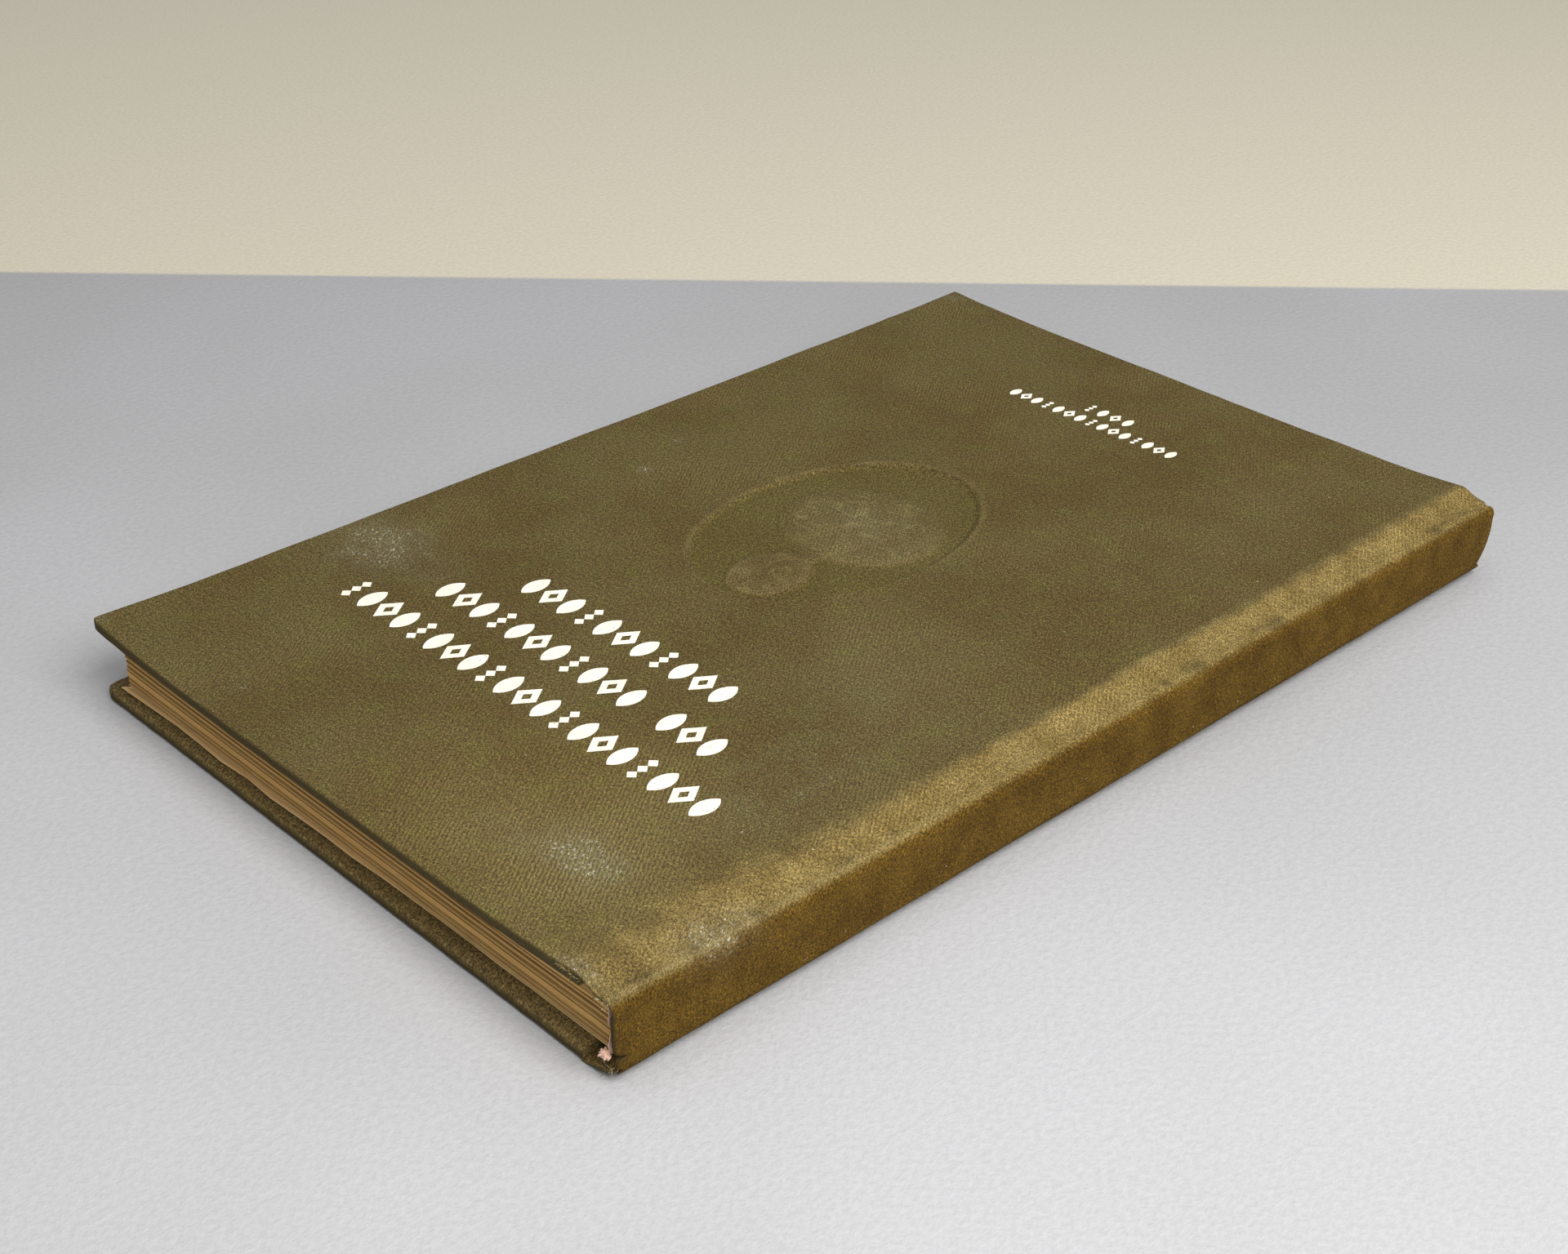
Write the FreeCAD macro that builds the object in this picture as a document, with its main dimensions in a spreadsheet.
import FreeCAD, Part
import Sketcher
import os

# Case-bound book lying on its back cover. Millimetres, +Z up.
# X runs from the spine (-X) to the fore-edge (+X), Y from the tail (-Y) to the head (+Y).
# The origin is the middle of the covers' footprint, on the surface that the book lies on.
# Every piece is drawn about the book's mid-plane. Pieces of the front half are lifted by half
# the thickness, and pieces of the back half are the same ones turned over about the X axis.

SIZES = {
    "book_height": 205.0,  # tail to head, over the boards
    "book_width": 132.7,  # spine to fore-edge
    "book_thickness": 14.2,
    "cloth": 0.3,
    "paper": 0.12,  # one endpaper leaf
    "board_core": 1.38,  # board between the cloth and the turned-in cloth
    "joint_width": 7.2,  # spine face to the board's inner edge
    "turn_in": 15.0,
    "edge_radius": 0.6,
    "head_square": 3.0,  # board beyond the block at the head and the tail
    "fore_square": 4.0,  # board beyond the block at the fore-edge
    "shoulder_drop": 0.9,  # spine's shoulder below the board's face
    "shoulder_radius": 1.8,
    "spine_turn": 2.2,  # spine face to the end of the spine cloth
    "block_inset": 2.2,  # spine face to the sections' folds
    "inlay": 0.8,
    "spine_tab": 0.25,
    "mull": 0.25,
    "mull_inset": 1.7,  # spine face to the outside of the mull
    "mull_length": 160.0,
    "mull_flap": 25.0,
    "lining": 0.2,
    "lining_gap": 0.5,  # lining short of the block at each cover
    "hinge_inset": 3.45,  # spine face to the covers' hinge lines
    "first_gutter": 0.4,  # first section's crease beyond the hinge line
    "gutter_step": 1.1,  # each further crease beyond the one before
    "fold_radius": 0.35,
    "thread": 0.2,
    "thread_spacing": 24.0,
    "stamping": 0.05,
    "medallion_half_width": 19.2,
    "medallion_half_height": 27.5,
    "medallion_shift": 6.25,
    "medallion_drop": -8.3,
    "medallion_depth": 0.15,
    "bust_half_width": 15.5,
    "bust_half_height": 13.8,
    "bust_shift": 4.8,
    "bust_drop": -12.9,
    "bust_head_half_width": 6.8,
    "bust_head_half_height": 8.2,
    "bust_head_shift": 3.4,
    "bust_head_drop": 10.2,
    "bust_relief": 0.1,
}
SECTION_COUNT = 12
FRONT_TURNING = 3  # sections that turn with the front cover
BACK_TURNING = 1  # sections that turn with the back cover
STITCH_STATIONS = 7

doc = FreeCAD.newDocument("book")
sheet = doc.addObject("Spreadsheet::Sheet", "Sizes")
for row, (alias, size) in enumerate(SIZES.items(), start=1):
    sheet.set(f"A{row}", alias)
    sheet.set(f"B{row}", str(size))
    sheet.setAlias(f"B{row}", alias)
doc.recompute()


def cell(alias):
    """Expression that reads one cell of the sheet."""
    return f"Sizes.{alias}"


def number(expression):
    """Value of an expression, in millimetres."""
    result = sheet.evalExpression(str(expression))
    return float(getattr(result, "Value", result))


# Expressions shared by several pieces, all from the mid-plane frame.
SPINE_X = "(-Sizes.book_width / 2)"
FORE_X = "(Sizes.book_width / 2)"
BOARD_X = f"({SPINE_X} + Sizes.joint_width)"
BLOCK_X = f"({SPINE_X} + Sizes.block_inset)"
BLOCK_FORE_X = f"({FORE_X} - Sizes.fore_square)"
HINGE_X = f"({SPINE_X} + Sizes.hinge_inset)"
SPINE_CLOTH_END = f"({SPINE_X} + Sizes.spine_turn)"
HEAD_Y = "(Sizes.book_height / 2)"
BLOCK_HEAD_Y = f"({HEAD_Y} - Sizes.head_square)"
FACE_Z = "(Sizes.book_thickness / 2)"
CORE_TOP_Z = f"({FACE_Z} - Sizes.cloth)"
CORE_LOW_Z = f"({CORE_TOP_Z} - Sizes.board_core)"
TURN_LOW_Z = f"({CORE_LOW_Z} - Sizes.cloth)"
BLOCK_Z = f"({TURN_LOW_Z} - Sizes.paper)"
SHOULDER_Z = f"({FACE_Z} - Sizes.shoulder_drop)"
INLAY_HALF = f"({SHOULDER_Z} - Sizes.shoulder_radius)"
SECTION = f"(2 * ({BLOCK_Z} - Sizes.paper) / {SECTION_COUNT})"

nodes = []


def register(node, label, back=False):
    """Name a finished sub-part and put it in its half of the book."""
    node.Label = label
    turned = FreeCAD.Rotation(FreeCAD.Vector(1, 0, 0), 180 if back else 0)
    node.Placement = FreeCAD.Placement(FreeCAD.Vector(0, 0, 0), turned)
    node.setExpression("Placement.Base.z", FACE_Z)
    nodes.append(node)
    return node


def new_body(name):
    body = doc.addObject("PartDesign::Body", name + "_body")
    doc.recompute()
    return body


def add_box(body, name, low, high, remove=False):
    """Box between two corners given as expressions, added to a body or cut from it."""
    kind = "PartDesign::SubtractiveBox" if remove else "PartDesign::AdditiveBox"
    box = body.newObject(kind, name)
    for axis, size, start, end in zip("xyz", ("Length", "Width", "Height"), low, high):
        box.setExpression(f"Placement.Base.{axis}", start)
        box.setExpression(size, f"{end} - {start}")
    before = body.Shape.Volume if remove else 0.0
    doc.recompute()
    if remove and body.Shape.Volume >= before:
        raise RuntimeError(f"{box.Label} removed nothing")
    return box


def edges_along_y(shape, corners):
    """Names of the edges parallel to Y whose X and Z are at one of the corners."""
    names = []
    for index, edge in enumerate(shape.Edges, start=1):
        first = edge.Vertexes[0].Point
        last = edge.Vertexes[-1].Point
        if abs(first.y - last.y) < 1e-6:
            continue
        for x, z in corners:
            if all(abs(p.x - x) < 1e-4 and abs(p.z - z) < 1e-4 for p in (first, last)):
                names.append(f"Edge{index}")
    return names


def fillet(body, name, edge_names, radius):
    """Round the named edges of the body's last feature."""
    base = body.Tip
    rounding = body.newObject("PartDesign::Fillet", name)
    rounding.Base = (base, edge_names)
    rounding.setExpression("Radius", radius)
    doc.recompute()
    return rounding


def plain_sheet(label, low, high, back=False):
    """Flat piece of paper, card or gauze."""
    body = new_body(label)
    add_box(body, label + "_sheet", low, high)
    return register(body, label, back)


def origin_plane(body, role):
    return next(item for item in body.Origin.OriginFeatures if item.Role == role)


def strip_along_y(label, outline, half_length, back=False):
    """Strip with the given X-Z outline, drawn on the X-Z plane and padded both ways along Y."""
    body = new_body(label)
    sketch = body.newObject("Sketcher::SketchObject", label + "_outline")
    sketch.AttachmentSupport = (origin_plane(body, "XZ_Plane"), [""])
    sketch.MapMode = "FlatFace"
    points = [FreeCAD.Vector(number(x), number(z), 0) for x, z in outline]
    for index, point in enumerate(points):
        following = points[(index + 1) % len(points)]
        sketch.addGeometry(Part.LineSegment(point, following))
    for index, (x, z) in enumerate(outline):
        after = (index + 1) % len(outline)
        sketch.addConstraint(Sketcher.Constraint("Coincident", index, 2, after, 1))
        for kind, expression in (("DistanceX", x), ("DistanceY", z)):
            bound = sketch.addConstraint(
                Sketcher.Constraint(kind, -1, 1, index, 1, number(expression))
            )
            sketch.setExpression(f"Constraints[{bound}]", expression)
    pad = body.newObject("PartDesign::Pad", label + "_pad")
    pad.Profile = sketch
    pad.SideType = "Symmetric"
    pad.setExpression("Length", f"2 * {half_length}")
    doc.recompute()
    return register(body, label, back)


# ---- covers ----


def board(label, back=False):
    """Stiff board: full size between cloth and turn-ins, and raised in the field inside them."""
    body = new_body(label)
    inner_fore = f"({FORE_X} - Sizes.cloth)"
    inner_head = f"({HEAD_Y} - Sizes.cloth)"
    add_box(
        body,
        label + "_core",
        (BOARD_X, f"-{inner_head}", CORE_LOW_Z),
        (inner_fore, inner_head, CORE_TOP_Z),
    )
    field_head = f"({HEAD_Y} - Sizes.turn_in)"
    add_box(
        body,
        label + "_field",
        (BOARD_X, f"-{field_head}", TURN_LOW_Z),
        (f"({FORE_X} - Sizes.turn_in)", field_head, CORE_LOW_Z),
    )
    add_box(
        body,
        label + "_flap_rebate",
        (BOARD_X, "-(Sizes.mull_length / 2)", TURN_LOW_Z),
        (f"({BOARD_X} + Sizes.mull_flap)", "(Sizes.mull_length / 2)", CORE_LOW_Z),
        remove=True,
    )
    return register(body, label, back)


def wrapped_cloth(label):
    """Cloth over the board's outer face, its head, tail and fore-edge, and turned in behind it."""
    body = new_body(label)
    add_box(body, label + "_outside", (BOARD_X, f"-{HEAD_Y}", TURN_LOW_Z), (FORE_X, HEAD_Y, FACE_Z))
    rounded = []
    for index, edge in enumerate(body.Shape.Edges, start=1):
        on_face = all(abs(v.Point.z - number(FACE_Z)) < 1e-6 for v in edge.Vertexes)
        at_spine = all(abs(v.Point.x - number(BOARD_X)) < 1e-6 for v in edge.Vertexes)
        upright = abs(edge.Vertexes[0].Point.z - edge.Vertexes[-1].Point.z) > 1e-6
        if (on_face or upright) and not at_spine:
            rounded.append(f"Edge{index}")
    fillet(body, label + "_worn_edges", rounded, cell("edge_radius"))
    add_box(
        body,
        label + "_board_space",
        (BOARD_X, f"-({HEAD_Y} - Sizes.cloth)", CORE_LOW_Z),
        (f"({FORE_X} - Sizes.cloth)", f"({HEAD_Y} - Sizes.cloth)", CORE_TOP_Z),
        remove=True,
    )
    add_box(
        body,
        label + "_between_turn_ins",
        (BOARD_X, f"-({HEAD_Y} - Sizes.turn_in)", TURN_LOW_Z),
        (f"({FORE_X} - Sizes.turn_in)", f"({HEAD_Y} - Sizes.turn_in)", CORE_LOW_Z),
        remove=True,
    )
    return body


def oval_block(name, half_width, half_height, centre_x, centre_y, bottom):
    """Upright oval block that stands from a given height up to the cloth's face."""
    oval = doc.addObject("Part::Ellipse", name + "_outline")
    upright = number(cell(half_height)) > number(cell(half_width))
    longer, shorter = (half_height, half_width) if upright else (half_width, half_height)
    oval.setExpression("MajorRadius", cell(longer))
    oval.setExpression("MinorRadius", cell(shorter))
    turn = FreeCAD.Rotation(FreeCAD.Vector(0, 0, 1), 90 if upright else 0)
    oval.Placement = FreeCAD.Placement(FreeCAD.Vector(0, 0, 0), turn)
    oval.setExpression("Placement.Base.x", cell(centre_x))
    oval.setExpression("Placement.Base.y", cell(centre_y))
    oval.setExpression("Placement.Base.z", bottom)
    block = doc.addObject("Part::Extrusion", name)
    block.Base = oval
    block.DirMode = "Custom"
    block.Dir = FreeCAD.Vector(0, 0, 1)
    block.Solid = True
    block.setExpression("LengthFwd", f"{FACE_Z} - {bottom}")
    doc.recompute()
    return block


def front_cloth(foil):
    """Front cloth with the foil's beds and a sunk oval that leaves a raised bust in its field."""
    body = wrapped_cloth("front_cloth")
    floor = f"({FACE_Z} - Sizes.medallion_depth)"
    oval = oval_block(
        "medallion", "medallion_half_width", "medallion_half_height",
        "medallion_shift", "medallion_drop", floor,
    )
    bust_top = f"({floor} + Sizes.bust_relief)"
    shoulders = oval_block(
        "bust_shoulders", "bust_half_width", "bust_half_height", "bust_shift", "bust_drop", floor
    )
    head = oval_block(
        "bust_head", "bust_head_half_width", "bust_head_half_height",
        "bust_head_shift", "bust_head_drop", floor,
    )
    bust = doc.addObject("Part::MultiFuse", "bust")
    bust.Shapes = [shoulders, head]
    for part in (shoulders, head):
        part.setExpression("LengthFwd", f"{bust_top} - {floor}")
    recess = doc.addObject("Part::Cut", "medallion_recess")
    recess.Base = oval
    recess.Tool = bust
    sunk = doc.addObject("Part::Cut", "front_cloth_sunk")
    sunk.Base = body
    sunk.Tool = recess
    beds = doc.addObject("Part::Feature", "foil_beds")
    beds.Shape = foil
    stamped = doc.addObject("Part::Cut", "front_cloth_stamped")
    stamped.Base = sunk
    stamped.Tool = beds
    doc.recompute()
    if not stamped.Shape.Volume < sunk.Shape.Volume < body.Shape.Volume:
        raise RuntimeError("a stamp removed nothing")
    return register(stamped, "front_cloth")


def half_cover(side, back):
    """One board with its pastedown, mull flap and the strips that cross its joint."""
    board(f"{side}_board", back)
    plain_sheet(
        f"{side}_pastedown",
        (BOARD_X, f"-{BLOCK_HEAD_Y}", BLOCK_Z),
        (BLOCK_FORE_X, BLOCK_HEAD_Y, TURN_LOW_Z),
        back,
    )
    half_mull = "(Sizes.mull_length / 2)"
    plain_sheet(
        f"{side}_mull_flap",
        (BOARD_X, f"-{half_mull}", TURN_LOW_Z),
        (f"({BOARD_X} + Sizes.mull_flap)", half_mull, f"({TURN_LOW_Z} + Sizes.mull)"),
        back,
    )
    plain_sheet(
        f"{side}_joint_mull",
        (f"({SPINE_X} + Sizes.mull_inset)", f"-{half_mull}", TURN_LOW_Z),
        (BOARD_X, half_mull, f"({TURN_LOW_Z} + Sizes.mull)"),
        back,
    )
    plain_sheet(
        f"{side}_joint_endpaper",
        (HINGE_X, f"-{BLOCK_HEAD_Y}", BLOCK_Z),
        (BOARD_X, BLOCK_HEAD_Y, TURN_LOW_Z),
        back,
    )
    strip_along_y(
        f"{side}_joint_cloth",
        [
            (SPINE_CLOTH_END, f"({SHOULDER_Z} - Sizes.cloth)"),
            (BOARD_X, CORE_TOP_Z),
            (BOARD_X, FACE_Z),
            (SPINE_CLOTH_END, SHOULDER_Z),
        ],
        HEAD_Y,
        back,
    )


# ---- spine ----


def spine_cloth():
    """Cloth round the spine strip: rounded shoulders, and turned in over the strip's two ends."""
    label = "spine_cloth"
    outside = SPINE_X
    inside = f"({SPINE_X} + Sizes.cloth)"
    under = f"({SHOULDER_Z} - Sizes.cloth)"
    outline = [
        (SPINE_CLOTH_END, SHOULDER_Z),
        (outside, SHOULDER_Z),
        (outside, f"-{SHOULDER_Z}"),
        (SPINE_CLOTH_END, f"-{SHOULDER_Z}"),
        (SPINE_CLOTH_END, f"-{under}"),
        (inside, f"-{under}"),
        (inside, under),
        (SPINE_CLOTH_END, under),
    ]
    body = strip_along_y(label, outline, HEAD_Y)
    outer = [(number(outside), side * number(SHOULDER_Z)) for side in (1, -1)]
    inner = [(number(inside), side * number(under)) for side in (1, -1)]
    fillet(body, label + "_shoulders", edges_along_y(body.Tip.Shape, outer), cell("shoulder_radius"))
    inner_radius = "Sizes.shoulder_radius - Sizes.cloth"
    fillet(body, label + "_inside", edges_along_y(body.Tip.Shape, inner), inner_radius)
    inlay_face = f"({inside} + Sizes.inlay)"
    tab_face = f"({inlay_face} + Sizes.spine_tab)"
    for end, sign in (("head", ""), ("tail", "-")):
        tip = f"({sign}1 * {HEAD_Y})"
        cap = f"({sign}1 * ({HEAD_Y} - Sizes.cloth))"
        tab = f"({sign}1 * ({HEAD_Y} - Sizes.turn_in))"
        low, high = (cap, tip) if end == "head" else (tip, cap)
        add_box(
            body, f"{label}_{end}_cap",
            (inside, low, f"-{INLAY_HALF}"), (tab_face, high, INLAY_HALF),
        )
        low, high = (tab, cap) if end == "head" else (cap, tab)
        add_box(
            body, f"{label}_{end}_tab",
            (inlay_face, low, f"-{INLAY_HALF}"), (tab_face, high, INLAY_HALF),
        )
    return body


def spine_pieces():
    """Spine strip, cloth, paper lining, mull and thread, from the outside inwards."""
    spine_cloth()
    inlay_head = f"({HEAD_Y} - Sizes.cloth)"
    inlay_outside = f"({SPINE_X} + Sizes.cloth)"
    plain_sheet(
        "spine_inlay",
        (inlay_outside, f"-{inlay_head}", f"-{INLAY_HALF}"),
        (f"({inlay_outside} + Sizes.inlay)", inlay_head, INLAY_HALF),
    )
    mull_outside = f"({SPINE_X} + Sizes.mull_inset)"
    lining_half = f"({BLOCK_Z} - Sizes.lining_gap)"
    lining_head = f"({BLOCK_HEAD_Y} - Sizes.head_square)"
    plain_sheet(
        "spine_lining",
        (f"({mull_outside} - Sizes.lining)", f"-{lining_head}", f"-{lining_half}"),
        (mull_outside, lining_head, lining_half),
    )
    plain_sheet(
        "spine_mull",
        (mull_outside, "-(Sizes.mull_length / 2)", f"-{TURN_LOW_Z}"),
        (f"({mull_outside} + Sizes.mull)", "(Sizes.mull_length / 2)", TURN_LOW_Z),
    )


def sewing_thread():
    """Long stitches that climb the block's spine, one at each sewing station."""
    mull_inside = f"({SPINE_X} + Sizes.mull_inset + Sizes.mull)"
    stitches = []
    for station in range(STITCH_STATIONS):
        stitch = doc.addObject("Part::Cylinder", f"stitch_{station + 1}")
        offset = station - (STITCH_STATIONS - 1) / 2
        stitch.setExpression("Radius", "Sizes.thread / 2")
        stitch.setExpression("Height", f"2 * ({BLOCK_Z} - {SECTION} / 2)")
        stitch.setExpression("Placement.Base.x", f"({mull_inside} + {BLOCK_X}) / 2")
        stitch.setExpression("Placement.Base.y", f"{offset} * Sizes.thread_spacing")
        stitch.setExpression("Placement.Base.z", f"-({BLOCK_Z} - {SECTION} / 2)")
        stitches.append(stitch)
    thread = doc.addObject("Part::Compound", "sewing_thread_stitches")
    thread.Links = stitches
    doc.recompute()
    return register(thread, "sewing_thread")


# ---- text block ----


def crease_x(turn):
    """Crease of a turning piece: 0 is the flyleaf, and each section bends further from the spine."""
    if turn == 0:
        return HINGE_X
    return f"({HINGE_X} + Sizes.first_gutter + {turn - 1} * Sizes.gutter_step)"


def folded_block(label, fore, top, low, back=False):
    """Sewn sheets with their folds rounded at the spine."""
    body = new_body(label)
    add_box(body, label + "_sheets", (BLOCK_X, f"-{BLOCK_HEAD_Y}", low), (fore, BLOCK_HEAD_Y, top))
    corners = [(number(BLOCK_X), number(z)) for z in (top, low)]
    fillet(body, label + "_fold", edges_along_y(body.Tip.Shape, corners), cell("fold_radius"))
    return register(body, label, back)


def section_height(index, back):
    """Top and bottom of a section, counted from its own cover."""
    place = SECTION_COUNT - index if back else index - 1
    top = f"({BLOCK_Z} - Sizes.paper - {place} * {SECTION})"
    return top, f"({top} - {SECTION})"


def turning_section(index, turn, back):
    """Section split at its gutter crease: the sewn fold stays, and the leaves turn."""
    label = f"section_{index:02d}"
    top, low = section_height(index, back)
    folded_block(label + "_fold", crease_x(turn), top, low, back)
    plain_sheet(
        label + "_leaves",
        (crease_x(turn), f"-{BLOCK_HEAD_Y}", low),
        (BLOCK_FORE_X, BLOCK_HEAD_Y, top),
        back,
    )


def endpaper(side, back):
    """Flyleaf that turns, and its strip tipped on beside the spine."""
    under = f"({BLOCK_Z} - Sizes.paper)"
    low_y = f"-{BLOCK_HEAD_Y}"
    plain_sheet(f"{side}_endpaper_strip", (BLOCK_X, low_y, under), (HINGE_X, BLOCK_HEAD_Y, BLOCK_Z), back)
    fore_corner = (BLOCK_FORE_X, BLOCK_HEAD_Y, BLOCK_Z)
    plain_sheet(f"{side}_flyleaf", (HINGE_X, low_y, under), fore_corner, back)


def text_block():
    for index in range(1, SECTION_COUNT + 1):
        from_back = SECTION_COUNT + 1 - index
        if index <= FRONT_TURNING:
            turning_section(index, index, False)
        elif from_back <= BACK_TURNING:
            turning_section(index, from_back, True)
        else:
            top, low = section_height(index, False)
            folded_block(f"section_{index:02d}", BLOCK_FORE_X, top, low)


# ---- stamping: generic ornaments, no letters ----

TITLE_LINES = [  # first X, last X, base Y, gap as (start, end) or None
    (-43.6, 48.5, 61.5, None),
    (-32.7, 37.5, 50.3, (-17.5, -13.5)),
    (-22.9, 28.5, 39.3, None),
]
TITLE_HEIGHT = 6.2
IMPRINT_LINES = [
    (-15.9, 25.3, -76.5, None),
    (-1.8, 10.5, -81.4, None),
]
IMPRINT_HEIGHT = 3.4
PITCH = 4.6  # from one ornament to the next
IMPRINT_PITCH = 2.8
# Shares of the row height.
LEAF_HALF = 0.26
LOZENGE_HALF = 0.36
OPENING_SHARE = 0.38
DOT_HALF = 0.165


def on_face(x, y, centre_x, base_y, height):
    """Point of an ornament's outline on the front face."""
    return FreeCAD.Vector(centre_x + x * height, base_y + y * height, number(FACE_Z))


def lozenge(place, y, half_width, half_height):
    """Outline of a lozenge at height y, as shares of the row height."""
    corners = [(0, y - half_height), (half_width, y), (0, y + half_height), (-half_width, y)]
    return Part.makePolygon([on_face(*corner, *place) for corner in corners + corners[:1]])


def leaf(place):
    """Broad leaf between two arcs, as tall as the row."""
    tips = (on_face(0, 0, *place), on_face(0, 1, *place))
    sides = [on_face(half, 0.5, *place) for half in (LEAF_HALF, -LEAF_HALF)]
    right = Part.Arc(tips[0], sides[0], tips[1]).toShape()
    left = Part.Arc(tips[1], sides[1], tips[0]).toShape()
    return [Part.Face(Part.Wire([right, left]))]


def open_lozenge(place):
    """Lozenge with a lozenge opening."""
    outer = Part.Face(lozenge(place, 0.5, LOZENGE_HALF, 0.5))
    inner = Part.Face(lozenge(place, 0.5, OPENING_SHARE * LOZENGE_HALF, OPENING_SHARE * 0.5))
    return [outer.cut(inner)]


def lozenge_stack(place):
    """Three small lozenges above each other."""
    return [Part.Face(lozenge(place, y, DOT_HALF, DOT_HALF)) for y in (DOT_HALF, 0.5, 1 - DOT_HALF)]


ORNAMENTS = (leaf, open_lozenge, leaf, lozenge_stack)


def ornament_rows(lines, height, pitch):
    """Rows of foil ornaments, pressed flush into the front cloth."""
    solids = []
    for start, end, base, gap in lines:
        count = int(round((end - start) / pitch))
        for number_in_row in range(count):
            centre = start + (number_in_row + 0.5) * (end - start) / count
            if gap and gap[0] < centre < gap[1]:
                continue
            for face in ORNAMENTS[number_in_row % len(ORNAMENTS)]((centre, base, height)):
                solids.extend(face.extrude(FreeCAD.Vector(0, 0, -number(cell("stamping")))).Solids)
    return Part.makeCompound(solids)


def stamping(label, ornaments):
    feature = doc.addObject("Part::Feature", label + "_ornaments")
    feature.Shape = ornaments
    return register(feature, label)


def check_and_export():
    """Stop if anything failed, then write one STEP file for each sub-part."""
    doc.recompute()
    for item in doc.Objects:
        if "Invalid" in item.State or "Error" in item.State:
            raise RuntimeError(f"{item.Label} failed: {item.State}")
    os.makedirs("parts", exist_ok=True)
    for node in nodes:
        shape = node.Shape
        if shape.isNull() or not shape.isValid() or shape.Volume <= 0:
            raise RuntimeError(f"{node.Label} has no valid solid")
        shape.exportStep(f"parts/{node.Label}.step")
        print(f"{node.Label}: {len(shape.Solids)} solid(s), {shape.Volume:.1f} mm3")


title = ornament_rows(TITLE_LINES, TITLE_HEIGHT, PITCH)
imprint = ornament_rows(IMPRINT_LINES, IMPRINT_HEIGHT, IMPRINT_PITCH)
front_cloth(Part.makeCompound(title.Solids + imprint.Solids))
stamping("title_stamping", title)
stamping("imprint_stamping", imprint)
half_cover("front", False)
register(wrapped_cloth("back_cloth"), "back_cloth", True)
half_cover("back", True)
spine_pieces()
sewing_thread()
text_block()
endpaper("front", False)
endpaper("back", True)
check_and_export()
